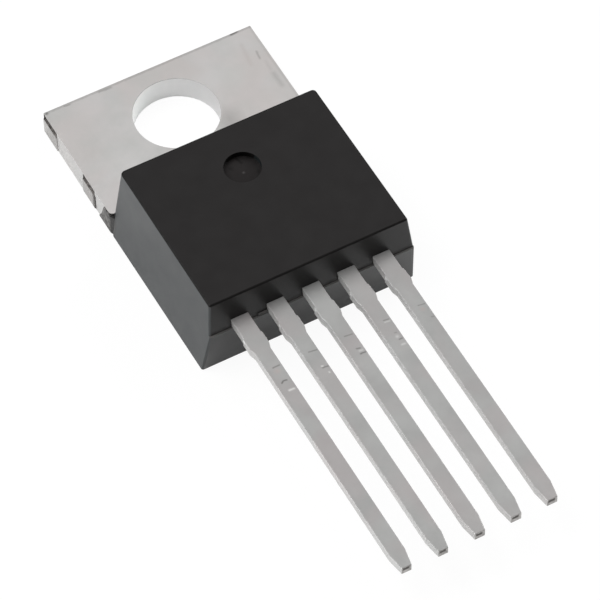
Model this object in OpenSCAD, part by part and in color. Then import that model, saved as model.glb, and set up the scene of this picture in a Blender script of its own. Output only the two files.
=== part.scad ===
// Five-lead voltage regulator in a moulded package with a bolt-down heat sink.
// Millimetres. The origin is the centre of the mounting hole on the back face of the heat sink.
// +Z points out of the top of the moulding, the leads run along -Y and X goes across the package.

/* [Heat sink] */
// Width of the heat sink tab
tab_w = 10.3; // [9.9:0.1:10.7]
// Thickness of the heat sink
tab_t = 1.25; // [1.1:0.05:1.4]
// Distance from the hole's centre to the tab's far edge
tab_reach = 2.88; // [2.6:0.02:3.4]
// Distance from the hole's centre to the shoulders beside the moulding
shoulder_reach = 3.62; // [3.3:0.02:3.9]
// Radius of the shoulder's corners, seen from above
shoulder_r = 0.2; // [0.1:0.05:0.3]
// Diameter of the mounting hole
hole_d = 3.86; // [3.5:0.02:4.1]
// Roll-over round the top rim of the mounting hole
hole_roll = 0.02; // [0.01:0.01:0.05]
// How much narrower than the tab the buried header is on each side
header_inset = 1.0; // [0.85:0.05:1.2]
// How far the header's upper lip stands out over the moulding on each side
lock_lip = 0.25; // [0.1:0.05:0.4]
// Height at which the header's upper lip starts
lock_z = 0.6; // [0.4:0.05:0.8]
// Depth of moulding in front of the header's far end
header_cover = 2.44; // [2.3:0.02:2.6]

/* [Cut tie bars on the tab's sides] */
// How far a cut tie bar stands out of the side
stub_out = 0.03; // [0.02:0.01:0.1]
// Height of the torn strip above each cut tie bar
tear_h = 0.38; // [0.2:0.02:0.5]
// Depth of the torn strip
tear_depth = 0.05; // [0.02:0.01:0.1]
// Length of the first cut tie bar, measured from the tab's far edge
stub_1_l = 1.34; // [1.0:0.02:1.6]
// Length of the second cut tie bar
stub_2_l = 1.14; // [0.8:0.02:1.4]
// Distance from the shoulder to the second cut tie bar
stub_2_gap = 1.52; // [1.4:0.02:1.7]
// Thickness of the plated rim left above the torn strip and at its far end
tear_rim = 0.03; // [0.02:0.01:0.05]

/* [Moulded body] */
// Height of the moulding's top above the back of the heat sink
body_h = 4.35; // [4.15:0.05:4.7]
// How much narrower than the tab the moulding's base is on each side
body_inset = 0.04; // [0.0:0.01:0.1]
// Slope of each side wall, inwards over its height
side_lean = 0.41; // [0.3:0.01:0.5]
// Open gap between the shoulders of the tab and the moulding's rear wall
shoulder_gap = 0.1; // [0.06:0.01:0.15]
// Length of the moulding at its base
body_l = 8.27; // [8.0:0.01:8.5]
// Slope of the rear wall above the heat sink, inwards over its height
rear_lean = 0.25; // [0.1:0.05:0.35]
// How far the front wall's lower half flares out between base and parting line
front_flare = 0.45; // [0.3:0.05:0.6]
// Depth of the ledge along the front at the parting line
front_ledge = 0.17; // [0.1:0.01:0.25]
// Slope of the front wall above the ledge, inwards over its height
front_lean = 0.17; // [0.1:0.01:0.25]
// Radius of the moulding's upright corners beside the tab
rear_corner_r = 0.2; // [0.15:0.01:0.3]
// Radius of the moulding's upright corners beside the leads
front_corner_r = 0.1; // [0.1:0.01:0.2]
// Radius along the moulding's top edges
top_r = 0.08; // [0.03:0.01:0.09]
// How far the moulding's base is set back from the heat sink's face
face_recess = 0.04; // [0.02:0.01:0.08]
// Diameter of the round ejector mark in the top
mark_d = 1.66; // [1.2:0.02:2.0]
// Depth of the round ejector mark
mark_depth = 0.28; // [0.1:0.02:0.36]
// Distance from the moulding's rear wall to the ejector mark's centre
mark_back = 2.53; // [2.2:0.01:2.8]
// Thickness of the resin skin left on the tab's left side
flash_t = 0.05; // [0.03:0.01:0.08]
// How far the resin skin runs back from the shoulder along the tab's lower edge
flash_low_l = 1.1; // [0.9:0.05:1.3]
// How far the resin skin runs back from the shoulder along the tab's upper edge
flash_high_l = 0.55; // [0.4:0.05:0.7]
// Height of the resin skin where it joins the moulding
flash_joint_h = 1.16; // [0.6:0.02:1.2]
// Length of the lump of resin on the ledge beside lead 2
lump_l = 0.46; // [0.3:0.02:0.6]
// Height of the lump above the ledge
lump_h = 0.12; // [0.06:0.01:0.2]

/* [Leads] */
// Distance between neighbouring leads
lead_pitch = 1.7; // [1.66:0.01:1.74]
// Thickness of the leads
lead_t = 0.44; // [0.38:0.02:0.5]
// Height of the leads' underside, which is the moulding's parting line
lead_z = 2.63; // [2.5:0.01:2.8]
// Width of a lead along most of its length
lead_w = 0.72; // [0.64:0.02:0.8]
// Width of a lead where it leaves the moulding
root_w = 0.81; // [0.76:0.01:0.86]
// Width of a lead at the cut dam bar
dam_w = 0.9; // [0.88:0.01:1.0]
// Length of the cut dam bar's remains
dam_l = 0.65; // [0.5:0.05:0.8]
// Distance from the parting line's outer edge to the cut dam bar
dam_gap = 0.96; // [0.8:0.02:1.2]
// Length of a lead from the parting line's outer edge to its tip
lead_l = 14.14; // [12.7:0.02:14.7]
// Length of the taper at a lead's tip
tip_l = 0.8; // [0.5:0.05:1.0]
// Width of a lead's end face
tip_w = 0.45; // [0.35:0.01:0.5]
// Thickness of a lead's end face
tip_t = 0.4; // [0.3:0.02:0.44]

/* [Inside the moulding] */
// Width of a lead's bonding post
post_w = 1.24; // [1.1:0.02:1.3]
// Length of a lead's bonding post
post_l = 1.0; // [0.8:0.05:1.1]
// Depth of moulding in front of the bonding posts
post_cover = 1.1; // [0.95:0.05:1.2]
// Width of the centre lead where it climbs from the header
riser_w = 0.8; // [0.7:0.05:1.0]
// Steepness of the centre lead's climb
riser_angle = 65; // [60:1:72]
// Width of the silicon die
die_w = 3.8; // [3.6:0.1:4.0]
// Length of the silicon die
die_l = 2.8; // [2.6:0.1:2.9]
// Thickness of the silicon die
die_t = 0.28; // [0.2:0.02:0.4]
// Thickness of the solder under the die
solder_t = 0.06; // [0.03:0.01:0.1]
// How far the solder shows round the die
solder_rim = 0.1; // [0.05:0.01:0.15]
// Distance of the die's centre in front of the header's middle
die_forward = 0.36; // [0.2:0.02:0.5]
// Diameter of the thick bond wires
power_wire_d = 0.2; // [0.16:0.01:0.22]
// Diameter of the thin bond wires
signal_wire_d = 0.13; // [0.1:0.01:0.15]
// Half the angle through which a bond wire arches
wire_arch = 58; // [54:1:62]

/* [Hidden] */
$fn = 48;

// Cuts run past the faces that they cut by this much
past = 1;

// Widths, all worked out from the tab's width
body_base_w = tab_w - 2 * body_inset;
header_w = tab_w - 2 * header_inset;
// The moulding's sides are one flat slope from base to top
function half_width(z) = body_base_w / 2 - side_lean * (z - face_recess) / (body_h - face_recess);

// Distances from the hole's centre towards the leads; each such place has a negative y
body_rear = shoulder_reach + shoulder_gap;
front_base = body_rear + body_l;
front_low = front_base + front_flare;
front_high = front_low - front_ledge;
front_top = front_high - front_lean;
tip_reach = front_low + lead_l;
header_reach = front_base - header_cover;
die_reach = (body_rear + header_reach) / 2 + die_forward;
post_front = front_high - post_cover;
post_rear = post_front - post_l;
mark_reach = body_rear + mark_back;

// The rear wall stands upright beside the tab and leans in from just above it
rear_knee_z = tab_t + 0.1;
rear_top = body_rear + rear_lean;
rear_part = body_rear + rear_lean * (lead_z - rear_knee_z) / (body_h - rear_knee_z);

// Heights
lead_top = lead_z + lead_t;
die_top = tab_t + solder_t + die_t;

plating = [0.75, 0.74, 0.73];
resin = [0.18, 0.17, 0.17];

// Shapes shared by several pieces

// A flat outline given as [distance from the hole, height] pairs, made w wide across x
module across(w) {
    rotate([90, 0, -90]) linear_extrude(w, center = true) children();
}

// Outline of a lead seen from above, on the middle line x = 0; y runs with the lead
module lead_plan(inner) {
    dam_start = front_low + dam_gap;
    dam_end = dam_start + dam_l;
    dam_step = 0.03;
    dam_slope = 0.3;
    half = [
        [root_w, inner], [root_w, dam_start], [dam_w, dam_start + dam_step], [dam_w, dam_end],
        [lead_w, dam_end + dam_slope], [lead_w, tip_reach - tip_l], [tip_w, tip_reach]
    ];
    n = len(half);
    polygon([
        for (p = half) [p[0] / 2, -p[1]],
        for (i = [n - 1:-1:0]) [-half[i][0] / 2, -half[i][1]]
    ]);
}

// Outline of a lead seen from the side: flat, then thinned towards its end face
module lead_side(inner) {
    thin = (lead_t - tip_t) / 2;
    polygon([
        [inner, lead_z], [inner, lead_top], [tip_reach - tip_l, lead_top],
        [tip_reach, lead_top - thin], [tip_reach, lead_z + thin], [tip_reach - tip_l, lead_z]
    ]);
}

// The straight part of a lead, from inner out to the tip, on the middle line x = 0
module lead_run(inner) {
    intersection() {
        translate([0, 0, lead_z - past]) linear_extrude(lead_t + 2 * past) lead_plan(inner);
        across(2 * dam_w) lead_side(inner);
    }
}

// x of lead number i
function lead_x(i) = (i - 3) * lead_pitch;

// Heat sink, one stamping with the centre lead

// The tab's outline with rounded shoulders
module tab_plan() {
    r = shoulder_r;
    half = tab_w / 2;
    polygon([[-half, tab_reach], [half, tab_reach], [half, r - shoulder_reach],
             [half - r, -shoulder_reach], [r - half, -shoulder_reach], [-half, r - shoulder_reach]]);
    for (s = [-1, 1])
        translate([s * (half - r), r - shoulder_reach]) circle(r = r);
}

// One cut tie bar with the torn strip above it, on the side s of the tab, from y0 to y1
module tie_bar_stub(s, y0, y1) {
    x = s * tab_w / 2;
    translate([min(x, x + s * stub_out), y0, 0]) cube([stub_out, y1 - y0, tab_t - tear_h]);
}

module tie_bar_tear(s, y0, y1) {
    x = s * (tab_w / 2 - tear_depth);
    translate([min(x, x + s * past), y0, tab_t - tear_h])
        cube([past, y1 - y0 - tear_rim, tear_h - tear_rim]);
}

module for_each_stub() {
    for (s = [-1, 1]) {
        $side = s;
        $y0 = tab_reach - stub_1_l;
        $y1 = tab_reach;
        children();
    }
    for (s = [-1, 1]) {
        $side = s;
        $y0 = stub_2_gap - shoulder_reach;
        $y1 = $y0 + stub_2_l;
        children();
    }
}

// The header that carries the die, with an upper lip that the moulding grips
module header() {
    start = shoulder_reach - shoulder_r;
    low = header_reach - start;
    translate([-header_w / 2, -header_reach, 0]) cube([header_w, low, tab_t]);
    translate([-header_w / 2 - lock_lip, -header_reach - lock_lip, lock_z])
        cube([header_w + 2 * lock_lip, low + lock_lip, tab_t - lock_z]);
}

// A ring segment of a bent strip: centre c, inner radius r, from angle a0 to a1
module strip_bend(c, r, a0, a1) {
    far = 3 * (r + lead_t);
    translate(c) intersection() {
        difference() {
            circle(r = r + lead_t);
            circle(r = r);
        }
        polygon([[0, 0], far * [cos(a0), sin(a0)], far * [cos((a0 + a1) / 2), sin((a0 + a1) / 2)],
                 far * [cos(a1), sin(a1)]]);
    }
}

// Side view of the centre lead's climb from the header's top up to the level of the leads
riser_r = 0.23;
riser_root = 0.1;
riser_start = header_reach + lock_lip - riser_root;
function riser_run() = let (
        turn = 2 * riser_r + lead_t,
        rise = lead_top - tab_t,
        slope = (rise - turn * (1 - cos(riser_angle))) / sin(riser_angle)
    ) [turn, slope, turn * sin(riser_angle) + slope * cos(riser_angle)];

module riser_side() {
    run = riser_run();
    a = riser_angle;
    low_c = [riser_start, tab_t + riser_r];
    high_c = [riser_start + run[2], lead_z - riser_r];
    strip_bend(low_c, riser_r, -90, a - 90);
    strip_bend(high_c, riser_r, 90, 90 + a);
    inner = low_c + riser_r * [sin(a), -cos(a)];
    along = run[1] * [cos(a), sin(a)];
    thick = lead_t * [sin(a), -cos(a)];
    polygon([inner, inner + along, inner + along + thick, inner + thick]);
    translate([riser_start - riser_root, tab_t - lead_t]) square([riser_root, lead_t]);
}

module heat_sink_and_lead_3() {
    climb_end = riser_start + riser_run()[2];
    color(plating) difference() {
        union() {
            linear_extrude(tab_t) tab_plan();
            for_each_stub() tie_bar_stub($side, $y0, $y1);
            header();
            across(riser_w) riser_side();
            lead_run(climb_end);
        }
        translate([0, 0, -past]) cylinder(d = hole_d, h = tab_t + 2 * past);
        translate([0, 0, tab_t - hole_roll])
            cylinder(r1 = hole_d / 2, r2 = hole_d / 2 + 2 * hole_roll, h = 2 * hole_roll);
        for_each_stub() tie_bar_tear($side, $y0, $y1);
    }
}

// The four leads that stand apart from the heat sink, each with a bonding post inside

// A bonding post seen from above, with an ear on each side that the resin grips
module post_plan() {
    ear_r = 0.12;
    translate([-post_w / 2, -post_front]) square([post_w, post_l]);
    for (s = [-1, 1])
        translate([s * post_w / 2, -post_front - ear_r / 2]) circle(r = ear_r);
}

module lead_piece(i) {
    overlap = 0.1;
    color(plating) translate([lead_x(i), 0, 0]) {
        lead_run(post_front - overlap);
        translate([0, 0, lead_z]) linear_extrude(lead_t) post_plan();
    }
}

// Die and what fastens it

module die_solder() {
    color([0.62, 0.62, 0.6])
        translate([-die_w / 2 - solder_rim, -die_reach - die_l / 2 - solder_rim, tab_t])
            cube([die_w + 2 * solder_rim, die_l + 2 * solder_rim, solder_t]);
}

module die() {
    color([0.3, 0.32, 0.38])
        translate([-die_w / 2, -die_reach - die_l / 2, tab_t + solder_t])
            cube([die_w, die_l, die_t]);
}

// Bond wires

// The flattened foot where a wire is pressed onto metal, standing on z = 0
module wire_foot(d) {
    foot_w = 1.4 * d;
    foot_h = 0.7 * d;
    foot_l = 1.1 * d;
    translate([-foot_l / 2, -foot_w / 2, 0]) cube([foot_l, foot_w, foot_h]);
    for (s = [-1, 1])
        translate([s * foot_l / 2, 0, 0]) cylinder(d = foot_w, h = foot_h);
}

// A wire of diameter d from the point p on one piece to the point q on another: two feet and an
// arc between them, whose ends lie inside the feet. The arc turns by twice wire_arch in all.
module bond_wire(p, q, d) {
    lift = 0.55 * d;
    step = q - p;
    span = norm([step[0], step[1]]);
    tilt = atan2(step[2], span);
    bend = norm([span, step[2]]) / (2 * sin(wire_arch));
    middle = [span / 2 + bend * cos(wire_arch) * sin(tilt), step[2] / 2 - bend * cos(wire_arch) * cos(tilt)];
    color([0.82, 0.82, 0.84]) translate(p) rotate([0, 0, atan2(step[1], step[0])]) {
        wire_foot(d);
        translate([span, 0, step[2]]) wire_foot(d);
        translate([middle[0], 0, middle[1] + lift]) rotate([90, 0, 0])
            rotate([0, 0, 90 - wire_arch + tilt])
            rotate_extrude(angle = 2 * wire_arch) translate([bend, 0]) circle(d = d);
    }
}

// Where each wire starts on the die, as a share of the die's half width and a distance in from the
// edge nearest the leads, and where it ends, as a distance from the middle of its post. The ground
// wire lands on the header, halfway between the solder and the climb of the centre lead.
pad_edge = -die_reach - die_l / 2;
post_mid = -(post_front + post_rear) / 2;
ground_landing = (pad_edge - solder_rim - riser_start) / 2;
function on_die(share, in) = [share * die_w / 2, pad_edge + in, die_top];
function on_post(i, x, y) = [lead_x(i) + x, post_mid + y, lead_top];

module bond_wire_1a() bond_wire(on_die(-0.81, 0.85), on_post(1, -0.2, 0.1), power_wire_d);
module bond_wire_1b() bond_wire(on_die(-0.66, 0.4), on_post(1, 0.15, -0.1), power_wire_d);
module bond_wire_2a() bond_wire(on_die(-0.4, 0.6), on_post(2, -0.2, 0), power_wire_d);
module bond_wire_2b() bond_wire(on_die(-0.13, 0.6), on_post(2, 0.25, 0), power_wire_d);
module bond_wire_3() bond_wire(on_die(0.15, 0.4), [0.15 * die_w / 2, ground_landing, tab_t], power_wire_d);
module bond_wire_4() bond_wire(on_die(0.45, 0.45), on_post(4, -0.1, 0), signal_wire_d);
module bond_wire_5() bond_wire(on_die(0.76, 0.5), on_post(5, -0.05, 0), signal_wire_d);

// Moulding

// The outline of the moulding at height z, as thin discs at its four rounded corners.
// The outline is drawn in by the distance in, and h is the discs' thickness.
module level(z, rear, front, in = 0, h = 0.001) {
    x = half_width(min(z, body_h));
    for (s = [-1, 1]) {
        translate([s * (x - rear_corner_r), -rear - rear_corner_r, z])
            cylinder(r = rear_corner_r - in, h = h, $fn = 32);
        translate([s * (x - front_corner_r), -front + front_corner_r, z])
            cylinder(r = front_corner_r - in, h = h, $fn = 32);
    }
}

// The top of the moulding, with its edges rounded in two steps
module top_level(rear, front) {
    level(body_h - top_r, rear, front);
    level(body_h - top_r, rear, front, in = 0.3 * top_r, h = 0.7 * top_r);
    level(body_h - top_r, rear, front, in = top_r, h = top_r);
}

module mould_outside() {
    hull() {
        level(face_recess, body_rear, front_base);
        level(rear_knee_z, body_rear, front_base + front_flare * rear_knee_z / lead_z);
        level(lead_z, rear_part, front_low);
    }
    hull() {
        level(lead_z, rear_part, front_high);
        top_level(rear_top, front_top);
    }
}

module ejector_mark() {
    translate([0, -mark_reach, body_h - mark_depth]) cylinder(d = mark_d, h = mark_depth + past);
}

// The skin of resin that ran out along the tab's left side and round its shoulder
module side_flash() {
    edge = tab_w / 2;
    top = tab_t - tear_rim;
    knee_l = (flash_low_l + flash_high_l) / 2;
    knee_h = 0.4 * flash_joint_h;
    corner_end = body_rear + rear_corner_r;
    buried = shoulder_r + 0.05;
    translate([-edge - flash_t, 0, 0]) rotate([90, 0, 90]) linear_extrude(flash_t)
        polygon([[flash_low_l - shoulder_reach, face_recess], [knee_l - shoulder_reach, knee_h],
                 [flash_high_l - shoulder_reach, top], [shoulder_r - shoulder_reach, top],
                 [-shoulder_reach, flash_joint_h], [-shoulder_reach, face_recess]]);
    translate([0, 0, face_recess]) linear_extrude(flash_joint_h - face_recess)
        polygon([[-edge - flash_t, shoulder_r - shoulder_reach], [-edge - flash_t, -shoulder_reach],
                 [flash_t - half_width(flash_joint_h), -corner_end], [buried - edge, -corner_end],
                 [buried - edge, shoulder_r - shoulder_reach]]);
}

// A lump of resin left on the ledge, against the left side of lead 2
module ledge_lump() {
    sunk = 0.02;
    translate([lead_x(2) - root_w / 2 - lump_l, sunk - front_low, lead_z - sunk])
        cube([lump_l + sunk, front_ledge, lump_h + sunk]);
}

module mould_body() {
    color(resin) difference() {
        union() {
            mould_outside();
            side_flash();
            ledge_lump();
        }
        ejector_mark();
        heat_sink_and_lead_3();
        for (i = [1, 2, 4, 5]) lead_piece(i);
        die_solder();
        die();
        bond_wire_1a();
        bond_wire_1b();
        bond_wire_2a();
        bond_wire_2b();
        bond_wire_3();
        bond_wire_4();
        bond_wire_5();
    }
}

heat_sink_and_lead_3();
lead_piece(1);  // lead_1
lead_piece(2);  // lead_2
lead_piece(4);  // lead_4
lead_piece(5);  // lead_5
die_solder();
die();
bond_wire_1a();
bond_wire_1b();
bond_wire_2a();
bond_wire_2b();
bond_wire_3();
bond_wire_4();
bond_wire_5();
mould_body();
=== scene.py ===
"""The looks of a five-lead voltage regulator that lies on its back: a black moulding with a tin-plated
tab and leads, on a white table."""

import math

import bmesh
import bpy
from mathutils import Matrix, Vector


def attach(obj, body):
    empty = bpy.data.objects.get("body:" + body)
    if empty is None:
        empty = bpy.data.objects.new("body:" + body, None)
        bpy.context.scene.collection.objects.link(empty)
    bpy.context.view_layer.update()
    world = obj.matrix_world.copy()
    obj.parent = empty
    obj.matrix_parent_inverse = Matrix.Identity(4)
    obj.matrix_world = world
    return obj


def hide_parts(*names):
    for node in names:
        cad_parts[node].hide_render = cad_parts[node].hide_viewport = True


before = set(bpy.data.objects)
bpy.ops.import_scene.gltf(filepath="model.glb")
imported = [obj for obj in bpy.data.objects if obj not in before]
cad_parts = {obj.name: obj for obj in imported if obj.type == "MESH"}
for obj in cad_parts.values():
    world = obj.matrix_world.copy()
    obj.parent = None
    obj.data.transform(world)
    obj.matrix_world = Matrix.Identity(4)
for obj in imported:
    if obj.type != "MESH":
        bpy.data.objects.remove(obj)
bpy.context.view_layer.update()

MM = 0.001

# Sizes that the finishes need, in millimetres, as in the part's source
TAB_HALF_WIDTH = 5.15
TAB_END = 2.88
TAB_THICKNESS = 1.25
SHOULDER = -3.62
TEAR_HEIGHT = 0.38
TEAR_DEPTH = 0.05
TIE_BAR_END = -2.1
HOLE_RADIUS = 1.93
BODY_REAR = -3.72
BODY_FRONT = -11.99
BODY_HALF_WIDTH = 5.11
BODY_TOP = 4.35
BODY_TOP_RADIUS = 0.08
LEDGE_TOP = 2.63
LEDGE_REACH = -12.2
MARK_CENTRE = -6.25
MARK_RADIUS = 0.83
LEAD_PITCH = 1.7
LEAD_TOP = 3.07
LEAD_TIP = -26.58
DAM_START = -13.4

# Nodes that take the same finish
LEADS = ["lead_1", "lead_2", "lead_4", "lead_5"]
BOND_WIRES = [
    "bond_wire_1a",
    "bond_wire_1b",
    "bond_wire_2a",
    "bond_wire_2b",
    "bond_wire_3",
    "bond_wire_4",
    "bond_wire_5",
]

# Widths of the broken edges
HEAT_SINK_EDGE = 0.03
LEAD_EDGE = 0.02
MOULDING_EDGE = 0.02
# Corners closer than this are one corner, and faces that turn by less than this are one face
SAME_CORNER = 0.0005
FLAT = math.radians(0.5)
# Edges that turn by more than this are broken, and faces that turn by less than this shade as one
SHARP = math.radians(50)
SMOOTH = math.radians(46)

# How far the real pieces lie from their plain shapes, as measured in the photograph
LEADS_3_TO_5_OUT = 0.035
LEADS_1_AND_2_OUT = 0.008
LEAD_TIP_UP = 0.02
TAB_END_SHORT = 0.04
TAB_SIDE_BACK = 0.03
# The hole is wider by this share and stands this far to the left and toward the leads
HOLE_WIDER = 0.013
HOLE_LEFT = 0.02
HOLE_NEARER = 0.005
# The moulding's right side stands out at its foot and more at its top, and its front corner still
# more above the ledge and less below it
RIGHT_FOOT_OUT = 0.04
RIGHT_TOP_MORE = 0.025
RIGHT_CORNER_MORE = 0.04
# The foot of its left side stands out at the front and more at the rear
LEFT_FOOT_OUT = 0.045
LEFT_REAR_MORE = 0.04
# Its rear wall stands out at its foot and more at its top
REAR_FOOT_OUT = 0.02
REAR_TOP_MORE = 0.025
FRONT_FOOT_OUT = 0.075
FRONT_AT_LEADS_OUT = 0.08
# What moves with the moulding's sides starts this far from its middle and is all there this much on
SIDES_FROM = 4.3
SIDES_BAND = 0.3


# Materials


def linear(code):
    """A colour written as sRGB hex, turned to the linear values that shaders take."""
    channels = [int(code[i : i + 2], 16) / 255 for i in (1, 3, 5)]
    return tuple(c / 12.92 if c <= 0.04045 else ((c + 0.055) / 1.055) ** 2.4 for c in channels) + (1.0,)


def node(tree, kind, inputs=None, **settings):
    """Adds one shader node and returns its outputs. An input is a constant or another node's output."""
    made = tree.nodes.new("ShaderNode" + kind)
    for name, value in settings.items():
        setattr(made, name, value)
    for name, value in (inputs or {}).items():
        if isinstance(value, bpy.types.NodeSocket):
            tree.links.new(value, made.inputs[name])
        else:
            made.inputs[name].default_value = value
    return made.outputs


def new_material(name):
    """An empty material: its node tree, and the place on the piece that patterns are drawn by."""
    material = bpy.data.materials.new(name)
    material.use_nodes = True
    tree = material.node_tree
    tree.nodes.clear()
    place = node(tree, "TexCoord")["Object"]
    return material, tree, place


def finish_material(tree, inputs):
    """Ends a material in one surface shader."""
    surface = node(tree, "BsdfPrincipled", inputs)["BSDF"]
    node(tree, "OutputMaterial", {"Surface": surface})


def per_mm(size):
    """The texture scale at which a pattern's features are size millimetres across."""
    return 1 / (size * MM)


def inside(tree, value, low, high, fade):
    """1 where value lies between low and high, in millimetres, and 0 outside, over a soft edge."""
    rise = node(
        tree,
        "MapRange",
        {"Value": value, "From Min": (low - fade) * MM, "From Max": (low + fade) * MM},
    )["Result"]
    fall = node(
        tree,
        "MapRange",
        {"Value": value, "From Min": (high + fade) * MM, "From Max": (high - fade) * MM},
    )["Result"]
    return node(tree, "Math", {0: rise, 1: fall}, operation="MULTIPLY")["Value"]


def stained(tree, mask, colour, stain, strength=1.0, blend="MIX"):
    """The colour with a stain laid over it where the mask is."""
    amount = node(tree, "Math", {0: mask, 1: strength}, operation="MULTIPLY")["Value"]
    mix = {0: amount, 6: colour, 7: linear(stain)}
    return node(tree, "Mix", mix, data_type="RGBA", blend_type=blend)[2]


def ragged(tree, place, size, throw):
    """The place shifted by up to throw millimetres in lumps of size, so that masks get rough edges."""
    noise = node(tree, "TexNoise", {"Vector": place, "Scale": per_mm(size), "Detail": 2.0})["Color"]
    centred = node(tree, "VectorMath", {0: noise, 1: (0.5, 0.5, 0.5)}, operation="SUBTRACT")["Vector"]
    shift = node(tree, "VectorMath", {0: centred, "Scale": 2 * throw * MM}, operation="SCALE")["Vector"]
    return node(tree, "VectorMath", {0: place, 1: shift}, operation="ADD")["Vector"]


def stroke(tree, place, start, end, width):
    """A mask of a straight scuff on a level face, from start to end, in millimetres."""
    along = Vector(end) - Vector(start)
    length = along.length
    along.normalize()
    from_start = node(
        tree, "VectorMath", {0: place, 1: (start[0] * MM, start[1] * MM, 0)}, operation="SUBTRACT"
    )["Vector"]
    run = node(
        tree, "VectorMath", {0: from_start, 1: (along.x, along.y, 0)}, operation="DOT_PRODUCT"
    )["Value"]
    offset = node(
        tree, "VectorMath", {0: from_start, 1: (-along.y, along.x, 0)}, operation="DOT_PRODUCT"
    )["Value"]
    fade = width / 2
    lengthwise = inside(tree, run, 0, length, fade)
    crosswise = inside(tree, offset, -width / 2, width / 2, fade)
    return node(tree, "Math", {0: lengthwise, 1: crosswise}, operation="MULTIPLY")["Value"]


# Start, end and width of each scuff, in millimetres, then its colour and strength. The last three of
# the tab are broad patches: a darker one to the right of the hole that is painted shade, then two where
# the plating is paler.
TAB_SCUFFS = [
    ((4.12, 2.77), (4.52, 2.79), 0.09, "#5f5c5a", 0.8),
    ((4.70, 1.42), (4.64, 0.92), 0.08, "#807c78", 0.42),
    ((4.30, 2.10), (4.12, 0.75), 0.16, "#a08a83", 0.1),
    ((4.80, 0.75), (4.76, 0.10), 0.14, "#8a8785", 0.12),
    ((4.76, 0.00), (4.79, -0.95), 0.18, "#8a8785", 0.26),
    ((-2.5, 2.70), (-1.85, 2.68), 0.09, "#7a7775", 0.4),
    ((-4.2, 2.72), (-3.9, 2.70), 0.07, "#7a7775", 0.4),
    ((-5.1, 2.71), (-4.98, 2.80), 0.10, "#6a6866", 0.7),
    # Painted shade: this broad darker patch to the right of the hole
    ((1.92, -0.95), (1.75, -2.60), 0.8, "#a09e9c", 0.55),
    ((3.05, 1.00), (3.25, 0.45), 1.2, "#efedeb", 0.22),
    ((-3.60, -0.90), (-2.40, -2.30), 1.8, "#efedeb", 0.13),
]
MARK_SCUFFS = [
    ((0.05, -5.45), (0.18, -5.88), 0.10, "#0b0a0a", 0.7),
    ((0.50, -5.66), (0.74, -5.85), 0.08, "#0b0a0a", 0.7),
    ((0.74, -5.70), (0.79, -5.74), 0.06, "#8a8888", 0.9),
    ((0.00, -6.28), (0.00, -6.38), 0.08, "#403e3e", 0.8),
    ((-0.42, -5.80), (-0.36, -5.98), 0.16, "#0b0a0a", 0.5),
    ((0.76, -5.98), (0.72, -6.15), 0.12, "#0b0a0a", 0.5),
    ((0.62, -6.48), (0.56, -6.70), 0.10, "#0b0a0a", 0.5),
]
# The same for the marks of a clamp on each lead, measured sideways from that lead's middle line
CLAMP_MARKS = {
    1: [
        ((-0.08, -15.33), (0.29, -15.31), 0.06, "#5f5c5a", 0.7),
        ((-0.05, -15.50), (0.12, -15.60), 0.20, "#b09a94", 0.3),
        ((-0.11, -16.21), (0.02, -16.11), 0.06, "#4c4a48", 0.8),
        ((0.02, -16.11), (0.19, -16.14), 0.06, "#4c4a48", 0.8),
        ((-0.03, -16.65), (0.27, -16.67), 0.08, "#e4e4e2", 0.6),
    ],
    2: [
        ((-0.08, -15.33), (0.33, -15.39), 0.05, "#5f5c5a", 0.6),
        ((0.05, -16.21), (0.14, -16.26), 0.06, "#e4e4e2", 0.6),
        ((0.05, -16.32), (0.33, -16.35), 0.06, "#4c4a48", 0.6),
        ((0.19, -16.60), (0.22, -16.70), 0.06, "#e4e4e2", 0.5),
    ],
    3: [
        ((-0.08, -15.35), (0.31, -15.40), 0.05, "#5f5c5a", 0.6),
        ((0.05, -16.14), (0.25, -16.20), 0.06, "#4c4a48", 0.6),
        ((0.10, -16.30), (0.30, -16.33), 0.08, "#e4e4e2", 0.3),
        ((0.07, -16.46), (0.36, -16.47), 0.06, "#4c4a48", 0.7),
    ],
    4: [
        ((0.04, -15.42), (0.31, -15.46), 0.05, "#5f5c5a", 0.6),
        ((0.04, -15.53), (0.31, -15.57), 0.06, "#e4e4e2", 0.3),
        ((0.13, -16.20), (0.27, -16.22), 0.05, "#5f5c5a", 0.4),
        ((0.12, -16.38), (0.22, -16.46), 0.12, "#e4e4e2", 0.35),
        ((0.15, -16.59), (0.34, -16.60), 0.06, "#4c4a48", 0.6),
        ((0.10, -16.88), (0.32, -16.89), 0.08, "#e4e4e2", 0.35),
    ],
    5: [
        ((0.00, -15.45), (0.34, -15.50), 0.05, "#5f5c5a", 0.5),
        ((0.02, -15.65), (0.18, -15.75), 0.15, "#b09a94", 0.3),
        ((0.20, -16.22), (0.34, -16.26), 0.06, "#5f5c5a", 0.4),
    ],
}


def scuffed(tree, place, colour, scuffs, shift=0):
    """The colour with each scuff of a list laid over it, moved sideways by shift millimetres."""
    for start, end, width, stain, strength in scuffs:
        mask = stroke(tree, place, (start[0] + shift, start[1]), (end[0] + shift, end[1]), width)
        colour = stained(tree, mask, colour, stain, strength)
    return colour


def tab_wear_and_shade(tree, place, colour):
    """The tab's top: a painted reflection of the dark room along its far and right edges, with a few
    scuffs, broad patches and painted shade to the right of the hole.
    """
    rough_place = ragged(tree, place, 0.25, 0.05)
    at = node(tree, "SeparateXYZ", {"Vector": rough_place})
    # Painted reflection: the far and right edges are darkened as if they mirrored the dark room
    far_edge_reflection = inside(tree, at["Y"], TAB_END - 0.17, TAB_END, 0.04)
    colour = stained(tree, far_edge_reflection, colour, "#868381", 0.3)
    right_edge_reflection = inside(tree, at["X"], TAB_HALF_WIDTH - 0.12, TAB_HALF_WIDTH, 0.03)
    colour = stained(tree, right_edge_reflection, colour, "#868381", 0.12)
    return scuffed(tree, rough_place, colour, TAB_SCUFFS)


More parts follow.
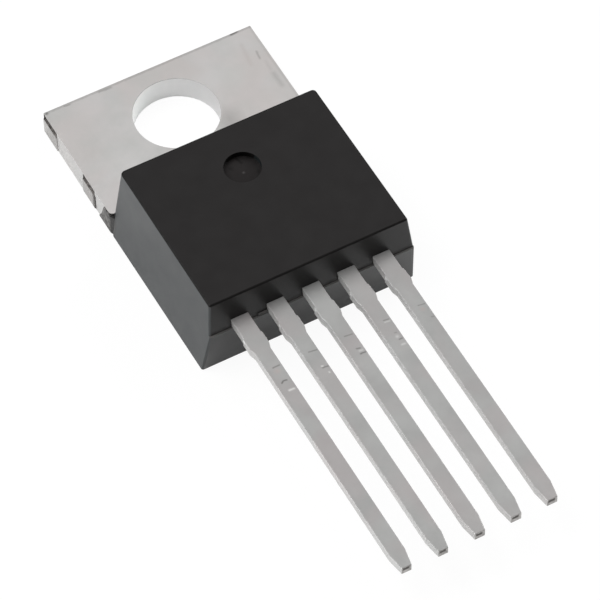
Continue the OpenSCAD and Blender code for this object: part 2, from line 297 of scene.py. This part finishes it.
def side_wear_and_shade(tree, place, colour):
    """The cut tie bars are duller than the sides between them, and each one by the body has painted
    shade at its near end, a dark ragged wedge."""
    outward = node(tree, "SeparateXYZ", {"Vector": place})["X"]
    outward = node(tree, "Math", {0: outward}, operation="ABSOLUTE")["Value"]
    on_bar = inside(tree, outward, TAB_HALF_WIDTH + 0.015, 6, 0.005)
    colour = stained(tree, on_bar, colour, "#dddcdb", blend="MULTIPLY")
    # Painted shade: the dark ragged wedge low on the side at the near end of each tie bar by the body
    at = node(tree, "SeparateXYZ", {"Vector": ragged(tree, place, 0.2, 0.07)})
    wedge = inside(tree, at["Y"], TIE_BAR_END - 0.1, TIE_BAR_END + 0.16, 0.03)
    low = inside(tree, at["Z"], -1, TAB_THICKNESS - TEAR_HEIGHT, 0.03)
    torn = node(tree, "Math", {0: wedge, 1: low}, operation="MULTIPLY")["Value"]
    return stained(tree, torn, colour, "#55514e", 0.9)


def lead_wear(tree, place, colour):
    """The leads' tops carry the dark and bright cross marks of a clamp."""
    rough_place = ragged(tree, place, 0.2, 0.02)
    for lead, marks in CLAMP_MARKS.items():
        colour = scuffed(tree, rough_place, colour, marks, (lead - 3) * LEAD_PITCH)
    return colour


def lead_side_highlight(tree, place, colour):
    """Painted highlight: a bright pip high on each sheared side, where the dam bar was cut from it."""
    # Painted highlight: bright near the top of each side at the start of the cut dam bar
    at = node(tree, "SeparateXYZ", {"Vector": ragged(tree, place, 0.15, 0.04)})
    start = inside(tree, at["Y"], DAM_START - 0.2, DAM_START + 0.02, 0.04)
    high = inside(tree, at["Z"], LEAD_TOP - 0.18, LEAD_TOP, 0.03)
    painted_glint = node(tree, "Math", {0: start, 1: high}, operation="MULTIPLY")["Value"]
    return stained(tree, painted_glint, colour, "#fbfbfa", 0.9)


def cut_wear(tree, place, colour):
    """The cutter smeared bright tin over the lead's cut end but for its torn dark core."""
    at = node(tree, "SeparateXYZ", {"Vector": ragged(tree, place, 0.12, 0.03)})
    # Counted afresh from the middle of the gap to the left of each lead
    from_left = node(tree, "Math", {0: at["X"], 1: 3.5 * LEAD_PITCH * MM})["Value"]
    across = node(tree, "Math", {0: from_left, 1: LEAD_PITCH * MM}, operation="MODULO")["Value"]
    middle = inside(tree, across, LEAD_PITCH / 2 - 0.18, LEAD_PITCH / 2 + 0.13, 0.03)
    upper = inside(tree, at["Z"], LEAD_TOP - 0.2, LEAD_TOP - 0.05, 0.03)
    core = node(tree, "Math", {0: middle, 1: upper}, operation="MULTIPLY")["Value"]
    return stained(tree, core, colour, "#4a4745", 0.95)


def mark_wear(tree, place, colour):
    """The ejector mark's floor is scraped: dark streaks and two pale pips."""
    return scuffed(tree, ragged(tree, place, 0.2, 0.04), colour, MARK_SCUFFS)


def wall_joint_shade(tree, place, colour):
    """Painted shade: the wall is dark where it meets the flash beside the tab, in the gap between them.
    """
    # Painted shade in the gap where the wall meets the flash
    at = node(tree, "SeparateXYZ", {"Vector": ragged(tree, place, 0.2, 0.03)})
    shaded_gap = inside(tree, at["Y"], BODY_REAR - 0.3, BODY_REAR, 0.03)
    low = inside(tree, at["Z"], -1, TAB_THICKNESS, 0.04)
    shade = node(tree, "Math", {0: shaded_gap, 1: low}, operation="MULTIPLY")["Value"]
    return stained(tree, shade, colour, "#030303", 0.8)


def ledge_band_shade(tree, place, colour):
    """Painted shade: the strip just above the ledge is made grey, and dull through dull_to, to draw the
    dark band along the ledge.
    """
    # Painted shade: the strip from the foot up to just above the ledge
    at = node(tree, "SeparateXYZ", {"Vector": ragged(tree, place, 0.3, 0.03)})
    strip = inside(tree, at["Z"], 0, LEDGE_TOP + 0.1, 0.05)
    return stained(tree, strip, colour, "#343332")


def foot_painted_light(tree, place, colour):
    """Painted light: the front is painted greyer toward its foot, where it mirrors the bright table,
    and a little all over but at its left end.
    """
    # Painted light: greyer toward the foot, and a little everywhere right of the left end
    at = node(tree, "SeparateXYZ", {"Vector": place})
    footward = node(
        tree, "MapRange", {"Value": at["Z"], "From Min": LEDGE_TOP * MM, "From Max": 0.0}
    )["Result"]
    foot = node(tree, "Math", {0: footward, 1: 1.7}, operation="POWER")["Value"]
    rightward = node(
        tree,
        "MapRange",
        {"Value": at["X"], "From Min": -4.2 * MM, "From Max": -2.8 * MM, "To Max": 0.42},
    )["Result"]
    lightened = node(tree, "Math", {0: foot, 1: rightward}, operation="MAXIMUM")["Value"]
    return stained(tree, lightened, colour, "#4b4c4c")


def hole_right_shade(tree, place, colour):
    """Painted shade: the hole's wall is darkened on its right, where the lamp lights it."""
    # Painted shade on the right of the hole's wall
    at = node(tree, "SeparateXYZ", {"Vector": place})
    right = node(
        tree,
        "MapRange",
        {"Value": at["X"], "From Min": -0.4 * HOLE_RADIUS * MM, "From Max": HOLE_RADIUS * MM},
    )["Result"]
    return stained(tree, right, colour, "#cfcdce", blend="MULTIPLY")


def tin_plating(name, pale, dull, warm, roughness, metallic=1.0, wear=None):
    """Matte tin plated over stamped copper: a soft silver sheen, faintly cloudy, with a fine grain.

    pale and dull are the two ends of the clouding, warm is the tint of the thinner plating. Under 1,
    metallic gives the part of the light that the plating's open grain scatters. wear is a function
    that lays marks over the colour.
    """
    material, tree, place = new_material(name)
    clouds = node(
        tree,
        "TexNoise",
        {"Vector": place, "Scale": per_mm(1.6), "Detail": 3.0, "Roughness": 0.55},
    )["Fac"]
    tint = node(
        tree,
        "TexNoise",
        {"Vector": place, "Scale": per_mm(2.4), "Detail": 1.0, "Distortion": 0.6},
    )["Fac"]
    grain = node(tree, "TexNoise", {"Vector": place, "Scale": per_mm(0.07), "Detail": 2.0})["Fac"]
    cloudy = node(tree, "MapRange", {"Value": clouds, "From Min": 0.35, "From Max": 0.65})["Result"]
    warmth = node(
        tree, "MapRange", {"Value": tint, "From Min": 0.4, "From Max": 0.7, "To Max": 0.5}
    )["Result"]
    silver = node(tree, "Mix", {0: cloudy, 6: linear(pale), 7: linear(dull)}, data_type="RGBA")[2]
    colour = node(tree, "Mix", {0: warmth, 6: silver, 7: linear(warm)}, data_type="RGBA")[2]
    if wear:
        colour = wear(tree, place, colour)
    rough = node(
        tree,
        "MapRange",
        {
            "Value": grain,
            "From Min": 0.3,
            "From Max": 0.7,
            "To Min": roughness - 0.04,
            "To Max": roughness + 0.05,
        },
    )["Result"]
    bump = node(tree, "Bump", {"Height": grain, "Strength": 0.12, "Distance": 0.01 * MM})["Normal"]
    finish_material(
        tree, {"Base Color": colour, "Metallic": metallic, "Roughness": rough, "Normal": bump}
    )
    return material


def torn_metal(name, light, dark, wear=None):
    """Broken copper and plating where a tie bar or a lead was cut off: dark, rough and uneven."""
    material, tree, place = new_material(name)
    tears = node(
        tree,
        "TexNoise",
        {"Vector": place, "Scale": per_mm(0.18), "Detail": 4.0, "Roughness": 0.6},
    )["Fac"]
    height = node(tree, "MapRange", {"Value": tears, "From Min": 0.35, "From Max": 0.62})["Result"]
    colour = node(tree, "Mix", {0: height, 6: linear(dark), 7: linear(light)}, data_type="RGBA")[2]
    if wear:
        colour = wear(tree, place, colour)
    bump = node(tree, "Bump", {"Height": tears, "Strength": 0.6, "Distance": 0.03 * MM})["Normal"]
    finish_material(tree, {"Base Color": colour, "Metallic": 1.0, "Roughness": 0.55, "Normal": bump})
    return material


def moulded_resin(name, dark, light, shine, wear=None, dull_to=None):
    """Black epoxy moulding compound, transfer moulded in a spark-eroded tool: near black, with a fine
    matte grain that goes pale where it faces the table at a low angle. shine is 1 for full gloss, and
    from the parting line up to the height dull_to, in millimetres, there is next to none."""
    material, tree, place = new_material(name)
    # The tool's own grain is about 0.02 mm, too fine to show, so it is drawn at 0.06 mm
    grain = node(tree, "TexNoise", {"Vector": place, "Scale": per_mm(0.06), "Detail": 2.0})["Fac"]
    filler = node(tree, "TexNoise", {"Vector": place, "Scale": per_mm(0.9), "Detail": 3.0})["Fac"]
    colour = node(tree, "Mix", {0: filler, 6: linear(dark), 7: linear(light)}, data_type="RGBA")[2]
    if wear:
        colour = wear(tree, place, colour)
    rough = node(
        tree,
        "MapRange",
        {"Value": filler, "From Min": 0.3, "From Max": 0.7, "To Min": 0.3, "To Max": 0.36},
    )["Result"]
    bump = node(tree, "Bump", {"Height": grain, "Strength": 0.15, "Distance": 0.01 * MM})["Normal"]
    gloss = 0.5 * shine
    if dull_to:
        at = node(tree, "SeparateXYZ", {"Vector": ragged(tree, place, 0.3, 0.03)})
        gloss = node(
            tree,
            "MapRange",
            {
                "Value": at["Z"],
                "From Min": (dull_to - 0.06) * MM,
                "From Max": (dull_to + 0.06) * MM,
                "To Min": 0.3,
                "To Max": 0.5 * shine,
            },
        )["Result"]
    finish_material(
        tree,
        {
            "Base Color": colour,
            "IOR": 1.42,
            "Specular IOR Level": gloss,
            "Roughness": rough,
            "Normal": bump,
        },
    )
    return material


def thin_resin(name):
    """Flash, a skin of resin too thin to be black: mottled grey, where the plating shows through it."""
    material, tree, place = new_material(name)
    patches = node(tree, "TexNoise", {"Vector": place, "Scale": per_mm(0.16), "Detail": 3.0})["Fac"]
    worn = node(tree, "MapRange", {"Value": patches, "From Min": 0.4, "From Max": 0.6})["Result"]
    shades = {0: worn, 6: linear("#1f1d1c"), 7: linear("#6a6866")}
    colour = node(tree, "Mix", shades, data_type="RGBA")[2]
    at = node(tree, "SeparateXYZ", {"Vector": ragged(tree, place, 0.2, 0.05)})
    # Painted shade: dark where the flash meets the wall, in the gap between them
    shaded_gap = inside(tree, at["Y"], BODY_REAR - 0.6, BODY_REAR + 0.08, 0.03)
    colour = stained(tree, shaded_gap, colour, "#0e0d0d", 0.9)
    bump = node(tree, "Bump", {"Height": patches, "Strength": 0.5, "Distance": 0.02 * MM})["Normal"]
    finish_material(tree, {"Base Color": colour, "Roughness": 0.5, "Normal": bump})
    return material


def plain_metal(name, light, dark, size, roughness):
    """A hidden metal piece: reflowed solder or drawn aluminium wire, clouded at its own grain size."""
    material, tree, place = new_material(name)
    grain = node(tree, "TexNoise", {"Vector": place, "Scale": per_mm(size), "Detail": 2.0})["Fac"]
    colour = node(tree, "Mix", {0: grain, 6: linear(dark), 7: linear(light)}, data_type="RGBA")[2]
    finish_material(tree, {"Base Color": colour, "Metallic": 1.0, "Roughness": roughness})
    return material


def polished_silicon(name):
    """Silicon die with its glass-like top: blue grey, with faint blocks where the circuits lie."""
    material, tree, place = new_material(name)
    cells = {"Vector": place, "Scale": per_mm(0.5)}
    blocks = node(tree, "TexVoronoi", cells, distance="CHEBYCHEV")["Color"]
    colour = node(tree, "Mix", {0: 0.12, 6: linear("#47506a"), 7: blocks}, data_type="RGBA")[2]
    finish_material(tree, {"Base Color": colour, "Roughness": 0.15, "IOR": 1.9})
    return material


tin_on_tab = tin_plating("matte_tin_on_tab", "#d2d0cf", "#c8c8c6", "#d2cac8", 0.34, wear=tab_wear_and_shade)
tin_on_tab_sides = tin_plating(
    "matte_tin_on_tab_sides", "#c9c9c8", "#bfc0bf", "#c7c2c0", 0.4, wear=side_wear_and_shade
)
# Painted light: the hole's plating is near white, lighter than the tin on the tab, and painted shade
# darkens its right side
tin_in_hole = tin_plating(
    "matte_tin_in_punched_hole", "#f8f9f8", "#f0f2f1", "#f4f3f2", 0.5, 0.5, wear=hole_right_shade
)
tin_on_leads = tin_plating(
    "matte_tin_on_leads", "#a1a1a0", "#999998", "#a19a9a", 0.36, 0.6, wear=lead_wear
)
tin_on_lead_sides = tin_plating(
    "bright_tin_on_lead_sides", "#cacac9", "#bebebd", "#c6c1c0", 0.45, 0.5, wear=lead_side_highlight
)
# The rolled rim of the hole faces the lamp and would draw a bright line, but it is dull
tin_on_rim = tin_plating("dull_tin_on_hole_rim", "#b4b3b2", "#aaa9a8", "#b2afae", 0.6, 0.2)
torn_tie_bar = torn_metal("torn_tie_bar", "#8e8a88", "#5a5755")
cut_lead_end = torn_metal("cut_lead_end", "#b2b0ae", "#8e8c8a", wear=cut_wear)
black_resin = moulded_resin("black_moulding_resin", "#070505", "#0b0908", 1.0)
# The long walls are painted lighter and a little bluer than the rest, a painted reflection of the
# bright table they face
resin_walls = moulded_resin("painted_light_resin_walls", "#181e20", "#1c2225", 1.0, wear=wall_joint_shade)
# The upright corners are painted grey and given little gloss, painted light where the rounded corners
# would mirror a dark room
resin_corner = moulded_resin("painted_light_resin_corner", "#3c3e3f", "#464849", 0.4)
resin_top = moulded_resin("matte_resin_top", "#080505", "#0b0808", 0.88)
# The rounded edges round the top are worn duller, which draws the thin dark lines along them
resin_edge = moulded_resin("worn_resin_edge", "#070505", "#0b0908", 0.5)
# The ledge along the parting line and the floor of the ejector mark have next to no gloss
# Painted light: the ledge is grey, so that it shows lighter than the black resin would where it lies in
# shade
resin_ledge = moulded_resin("matte_resin_ledge", "#4e4d4c", "#545352", 0.25)
# Just above the ledge the front has a dull grey strip, painted shade along the ledge
resin_front = moulded_resin(
    "resin_front_above_leads", "#070505", "#0b0908", 1.0, wear=ledge_band_shade, dull_to=LEDGE_TOP + 0.13
)
# Painted light: the front below the ledge is greyer toward its foot
resin_foot_lightened = moulded_resin("painted_light_resin_foot", "#080707", "#0c0b0b", 1.0, wear=foot_painted_light)
resin_mark = moulded_resin("matte_resin_mark", "#191717", "#211f1f", 0.25, wear=mark_wear)
resin_flash = thin_resin("resin_flash")
solder = plain_metal("reflowed_solder", "#b0b0ae", "#90908e", 0.3, 0.45)
silicon = polished_silicon("polished_silicon")
aluminium_wire = plain_metal("drawn_aluminium_wire", "#dcdcde", "#c8c8ca", 0.05, 0.3)


# Pieces


def shading_normals(shell):
    """The normal at each corner of each face: the mean of the faces that meet there and turn by less
    than SMOOTH, weighted by area, so that broad faces look flat and only broken edges look round."""
    area = {face: face.calc_area() for face in shell.faces}
    normals = []
    for face in shell.faces:
        for corner in face.loops:
            total = Vector()
            for other in corner.vert.link_faces:
                if other == face or other.normal.dot(face.normal) > math.cos(SMOOTH):
                    total += other.normal * area[other]
            normals.append(total.normalized())
    return normals


def dressed(node_name, edge_break, materials, pick, spare=lambda middle: False, settle=None):
    """The CAD piece with its sharp edges broken, as a new piece that stands for it.

    edge_break is the width of the broken edges in millimetres. materials is a list, and pick gives
    the index of a face's material from the face's centre and normal, in millimetres. spare tells
    from an edge's middle whether it stays sharp. settle gives the small way that a corner moves.
    """
    shell = bmesh.new()
    shell.from_mesh(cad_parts[node_name].data)
    bmesh.ops.scale(shell, vec=Vector((1, 1, 1)) / MM, verts=shell.verts)
    bmesh.ops.remove_doubles(shell, verts=shell.verts, dist=SAME_CORNER)
    bmesh.ops.dissolve_limit(shell, angle_limit=FLAT, verts=shell.verts, edges=shell.edges)
    if settle:
        for corner in shell.verts:
            corner.co += Vector(settle(corner.co))
    sharp = [
        e
        for e in shell.edges
        if e.is_manifold
        and e.calc_face_angle(0) > SHARP
        and not spare((e.verts[0].co + e.verts[1].co) / 2)
    ]
    bmesh.ops.bevel(
        shell,
        geom=sharp,
        offset=edge_break,
        offset_type="OFFSET",
        segments=2,
        profile=0.5,
        affect="EDGES",
        clamp_overlap=False,
    )
    for face in shell.faces:
        face.material_index = pick(face.calc_center_median(), face.normal)
        face.smooth = True
    normals = shading_normals(shell)
    bmesh.ops.scale(shell, vec=Vector((MM, MM, MM)), verts=shell.verts)
    mesh = bpy.data.meshes.new(node_name + "_finished")
    shell.to_mesh(mesh)
    shell.free()
    mesh.normals_split_custom_set(normals)
    for material in materials:
        mesh.materials.append(material)
    piece = bpy.data.objects.new(node_name + "_finished", mesh)
    bpy.context.scene.collection.objects.link(piece)
    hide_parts(node_name)
    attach(piece, "root")
    return piece


def is_level(normal):
    """Whether a face looks up or down more than sideways."""
    return abs(normal.z) > 0.7


def lead_finish(centre, normal):
    """0 tin on the rolled faces, 1 tin on the sheared sides, 2 the cut end."""
    if centre.y < LEAD_TIP + 0.02 and normal.y < -0.9:
        return 2
    return 0 if is_level(normal) else 1


def heat_sink_finish(centre, normal):
    """The lead's three finishes, then 3 for the tab's faces, 4 for its sheared sides, 5 where it tore,
    6 in the hole and 7 on the hole's rolled rim."""
    if centre.y < BODY_FRONT:
        return lead_finish(centre, normal)
    if math.hypot(centre.x, centre.y) < HOLE_RADIUS + 0.08 and abs(normal.z) < 0.9:
        return 7 if normal.z > 0.3 else 6
    by_side = abs(centre.x) > TAB_HALF_WIDTH - TEAR_DEPTH - 0.01
    if by_side and TAB_THICKNESS - TEAR_HEIGHT - 0.01 < centre.z < TAB_THICKNESS - 0.02:
        return 5
    if abs(centre.x) > TAB_HALF_WIDTH and normal.y < -0.9 and centre.y < 0:
        return 5
    return 3 if is_level(normal) else 4


def heat_sink_edge_stays_sharp(middle):
    """The tab's sides with the torn tie bars, and the hole's rims, aren't broken."""
    by_side = abs(middle.x) > TAB_HALF_WIDTH - 0.3 and middle.y > SHOULDER - 0.05
    return by_side or math.hypot(middle.x, middle.y) < HOLE_RADIUS + 0.2


def moulding_edge_stays_sharp(middle):
    """The flash, the ejector mark and the ledge at the parting line aren't broken."""
    by_flash = middle.x < -BODY_HALF_WIDTH + 0.4 and middle.y > -4.1 and middle.z < TAB_THICKNESS
    by_ledge = middle.y < LEDGE_REACH and abs(middle.z - LEDGE_TOP) < 0.2
    by_mark = math.hypot(middle.x, middle.y - MARK_CENTRE) < MARK_RADIUS + 0.1
    return by_flash or by_ledge or by_mark


def lead_settles(corner):
    """How far a lead's corners lie from its plain shape: past the cut dam bar its right side stands a
    little outward, more so on leads 3 to 5, and its top stays level to the tip."""
    from_middle = corner.x - LEAD_PITCH * round(corner.x / LEAD_PITCH)
    sideways = 0
    if from_middle > 0.2 and corner.y < DAM_START - 0.6:
        sideways = LEADS_3_TO_5_OUT if corner.x > -1 else LEADS_1_AND_2_OUT
    at_tip = corner.y < LEAD_TIP + 0.4 and corner.z > LEAD_TOP - 0.1
    return (sideways, 0, LEAD_TIP_UP if at_tip else 0)


def heat_sink_settles(corner):
    """The same for the tab: it ends a little short, its right side stands back between the cut tie
    bars, and the hole is a little wider and further to the left."""
    if corner.y < BODY_FRONT:
        return lead_settles(corner)
    if math.hypot(corner.x, corner.y) < HOLE_RADIUS + 0.03:
        return (HOLE_WIDER * corner.x - HOLE_LEFT, HOLE_WIDER * corner.y - HOLE_NEARER, 0)
    between = abs(corner.x - TAB_HALF_WIDTH) < 0.01 and TIE_BAR_END + 0.5 < corner.y < 1.6
    at_end = corner.y > TAB_END - 0.05
    return (-TAB_SIDE_BACK if between else 0, -TAB_END_SHORT if at_end else 0, 0)


def moulding_settles(corner):
    """The same for the moulding: its rear, its right side and the feet of its left side and its front
    stand a little outward, and so does the front where the leads come out."""
    height = corner.z / BODY_TOP
    # 0 in the middle and 1 at the sides; what lies past the left side is flash, which stays
    out = min(max((abs(corner.x) - SIDES_FROM) / SIDES_BAND, 0), 1)
    on_flash = corner.x <= -BODY_HALF_WIDTH - 0.005
    sideways = 0
    if corner.x > 0:
        sideways = out * (RIGHT_FOOT_OUT + RIGHT_TOP_MORE * height)
        if corner.y < BODY_FRONT:
            sideways += RIGHT_CORNER_MORE * out * (1 if corner.z > LEDGE_TOP else -1)
    elif not on_flash:
        rearward = (corner.y - BODY_FRONT) / (BODY_REAR - BODY_FRONT)
        sideways = -out * (1 - height) * (LEFT_FOOT_OUT + LEFT_REAR_MORE * rearward)
    lengthwise = 0
    if corner.y > BODY_REAR - 0.6 and not on_flash:
        lengthwise = REAR_FOOT_OUT + REAR_TOP_MORE * height
    elif corner.y < BODY_FRONT + 0.11 and corner.z < 0.1:
        lengthwise = -FRONT_FOOT_OUT
    elif corner.z > LEDGE_TOP - 0.01 and LEDGE_REACH - 0.1 < corner.y < LEDGE_REACH + 0.15:
        lengthwise = -FRONT_AT_LEADS_OUT * (BODY_TOP - corner.z) / (BODY_TOP - LEDGE_TOP)
    return (sideways, lengthwise, 0)


def moulding_finish(centre, normal):
    """0 plain resin, 1 the flash beside the tab, 2 the rounded edges round the top, 3 the long walls,
    4 the top, 5 the ledge along the parting line, 6 the floor of the ejector mark, 7 the upright front
    corners, 8 and 9 the front below and above the ledge."""
    if centre.x < -BODY_HALF_WIDTH - 0.005 and centre.y > BODY_REAR - 0.4 and centre.z < TAB_THICKNESS:
        return 1
    if centre.z > BODY_TOP - BODY_TOP_RADIUS and 0.15 < normal.z < 0.98:
        return 2
    if abs(normal.x) > 0.9:
        return 3
    if centre.y < BODY_FRONT and abs(centre.x) > 4.5 and 0.25 < abs(normal.x):
        return 7
    if normal.y < -0.9 and centre.y < BODY_FRONT:
        return 8 if centre.z < LEDGE_TOP else 9
    if normal.z > 0.9:
        if centre.z > BODY_TOP - 0.1:
            return 4
        if centre.y < LEDGE_REACH:
            return 5
        if math.hypot(centre.x, centre.y - MARK_CENTRE) < MARK_RADIUS and centre.z > LEAD_TOP:
            return 6
    return 0


def finish_heat_sink():
    """The heat sink with its own finishes and those of the lead that is one piece with it."""
    piece = dressed(
        "heat_sink_and_lead_3",
        HEAT_SINK_EDGE,
        [
            tin_on_leads,
            tin_on_lead_sides,
            cut_lead_end,
            tin_on_tab,
            tin_on_tab_sides,
            torn_tie_bar,
            tin_in_hole,
            tin_on_rim,
        ],
        heat_sink_finish,
        spare=heat_sink_edge_stays_sharp,
        settle=heat_sink_settles,
    )


def finish_leads():
    """The four leads that stand apart from the heat sink."""
    for name in LEADS:
        piece = dressed(
            name,
            LEAD_EDGE,
            [tin_on_leads, tin_on_lead_sides, cut_lead_end],
            lead_finish,
            settle=lead_settles,
        )


def finish_moulding():
    """The moulding, with finishes for its walls, top, front, corners, ledge, mark and flash."""
    piece = dressed(
        "mould_body",
        MOULDING_EDGE,
        [
            black_resin,
            resin_flash,
            resin_edge,
            resin_walls,
            resin_top,
            resin_ledge,
            resin_mark,
            resin_corner,
            resin_foot_lightened,
            resin_front,
        ],
        moulding_finish,
        spare=moulding_edge_stays_sharp,
        settle=moulding_settles,
    )


def finish_hidden_pieces():
    """The die, its solder and the bond wires keep their shapes and get a finish each."""
    finishes = {"die_solder": solder, "die": silicon}
    for name in BOND_WIRES:
        finishes[name] = aluminium_wire
    for name, finish in finishes.items():
        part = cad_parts[name]
        part.data.materials.clear()
        part.data.materials.append(finish)


finish_heat_sink()
finish_leads()
finish_moulding()
finish_hidden_pieces()


# Studio

TABLE_HALF_WIDTH = 1500
# The table lies this far below the part, so that their faces don't fight
TABLE_GAP = 0.02
# How much of the table's light is its own glow, as the camera and as mirroring metal see it
SEEN_GLOW = 0.94
MIRRORED_GLOW = 0.25
# The direction of the room's soft box, and the room's light level away from it and toward it
SOFTBOX = (0.15, 0.45, 0.88)
ROOM_DIM = 0.18
ROOM_BRIGHT = 0.68
# The lamps point at the part's middle, in metres
LAMP_AIM = (0, -0.012, 0)


def add_floor():
    """A white light table: it glows a little, as such a table does, and keeps the part's shadow."""
    half = TABLE_HALF_WIDTH * MM
    corners = [(-half, -half, 0), (half, -half, 0), (half, half, 0), (-half, half, 0)]
    mesh = bpy.data.meshes.new("table")
    mesh.from_pydata(corners, [], [(0, 1, 2, 3)])
    floor = bpy.data.objects.new("table", mesh)
    floor.location.z = -TABLE_GAP * MM
    bpy.context.scene.collection.objects.link(floor)
    material, tree, _ = new_material("white_acrylic_table")
    rays = node(tree, "LightPath")
    mirrored = node(
        tree,
        "Math",
        {0: rays["Is Glossy Ray"], 1: rays["Is Transmission Ray"]},
        operation="MAXIMUM",
    )["Value"]
    mirrored_glow = node(tree, "Math", {0: mirrored, 1: MIRRORED_GLOW}, operation="MULTIPLY")["Value"]
    glow = node(
        tree,
        "Math",
        {0: rays["Is Camera Ray"], 1: SEEN_GLOW, 2: mirrored_glow},
        operation="MULTIPLY_ADD",
    )["Value"]
    paper = node(tree, "BsdfDiffuse", {"Color": linear("#f4f4f4")})["BSDF"]
    light = node(tree, "Emission", {"Color": linear("#ffffff"), "Strength": 1.0})["Emission"]
    surface = node(tree, "MixShader", {0: glow, 1: paper, 2: light})["Shader"]
    node(tree, "OutputMaterial", {"Surface": surface})
    mesh.materials.append(material)


def add_world():
    """A room that is bright above and behind the part, dark at table level and dim on the camera's
    side, but white where the camera sees it."""
    world = bpy.data.worlds.new("studio")
    bpy.context.scene.world = world
    world.use_nodes = True
    tree = world.node_tree
    tree.nodes.clear()
    direction = node(tree, "TexCoord")["Generated"]
    height = node(tree, "SeparateXYZ", {"Vector": direction})["Z"]
    towards_softbox = node(
        tree, "VectorMath", {0: direction, 1: SOFTBOX}, operation="DOT_PRODUCT"
    )["Value"]
    above = node(tree, "MapRange", {"Value": height, "From Min": 0.15, "From Max": 0.6})["Result"]
    behind = node(
        tree, "MapRange", {"Value": towards_softbox, "From Min": 0.25, "From Max": 0.85}
    )["Result"]
    softbox = node(tree, "Math", {0: above, 1: behind}, operation="MULTIPLY")["Value"]
    level = node(
        tree, "MapRange", {"Value": softbox, "To Min": ROOM_DIM, "To Max": ROOM_BRIGHT}
    )["Result"]
    rays = node(tree, "LightPath")
    room = node(tree, "Background", {"Color": linear("#ffffff"), "Strength": level})["Background"]
    white = node(tree, "Background", {"Color": linear("#ffffff"), "Strength": 1.0})["Background"]
    seen = node(tree, "MixShader", {0: rays["Is Camera Ray"], 1: room, 2: white})["Shader"]
    node(tree, "OutputWorld", {"Surface": seen})


def add_lamp(name, place, size, power):
    """A square soft lamp, in metres and watts, that points at the part."""
    data = bpy.data.lights.new(name, "AREA")
    data.shape = "SQUARE"
    data.size = size
    data.energy = power
    lamp = bpy.data.objects.new(name, data)
    lamp.location = place
    lamp.rotation_euler = (Vector(LAMP_AIM) - Vector(place)).to_track_quat("-Z", "Y").to_euler()
    bpy.context.scene.collection.objects.link(lamp)


# The camera was fitted to the photograph: where it looks from, how it leans, and how far off it is
VIEW_TURN = math.radians(-27.73)
VIEW_HEIGHT = math.radians(53.66)
VIEW_LEAN = math.radians(-1.04)
VIEW_DISTANCE = 189.1
VIEW_CENTRE = Vector((-0.41, -12.03, 2.0))
PIXELS_PER_MM = 23.59
FRAME_PIXELS = 600
SENSOR = 36.0
# Where VIEW_CENTRE lies in the photograph, in pixels from the frame's middle, right and up
CENTRE_OFFSET = (-0.5, 1.1)


def add_camera():
    """The fitted camera. Its axes are back, away from the part, right and up."""
    back = Vector(
        (
            math.sin(VIEW_TURN) * math.cos(VIEW_HEIGHT),
            -math.cos(VIEW_TURN) * math.cos(VIEW_HEIGHT),
            math.sin(VIEW_HEIGHT),
        )
    )
    level_right = Vector((math.cos(VIEW_TURN), math.sin(VIEW_TURN), 0))
    level_up = back.cross(level_right)
    right = math.cos(VIEW_LEAN) * level_right + math.sin(VIEW_LEAN) * level_up
    up = math.cos(VIEW_LEAN) * level_up - math.sin(VIEW_LEAN) * level_right
    aim = VIEW_CENTRE - (CENTRE_OFFSET[0] * right + CENTRE_OFFSET[1] * up) / PIXELS_PER_MM
    data = bpy.data.cameras.new("camera")
    data.sensor_width = SENSOR
    data.lens = SENSOR * PIXELS_PER_MM * VIEW_DISTANCE / FRAME_PIXELS
    data.clip_start = 0.01
    data.clip_end = 10.0
    camera = bpy.data.objects.new("camera", data)
    turn = camera.matrix_world.copy()
    for row in range(3):
        turn[row][0], turn[row][1], turn[row][2] = right[row], up[row], back[row]
        turn[row][3] = (aim[row] + back[row] * VIEW_DISTANCE) * MM
    camera.matrix_world = turn
    bpy.context.scene.collection.objects.link(camera)
    bpy.context.scene.camera = camera


add_floor()
add_world()
add_lamp("soft_lamp_left", (-0.3, 0.12, 0.5), 0.4, 3.2)
add_lamp("soft_lamp_right", (0.45, 0.1, 0.35), 0.3, 2.0)
add_camera()
bpy.context.scene.view_settings.view_transform = "Standard"
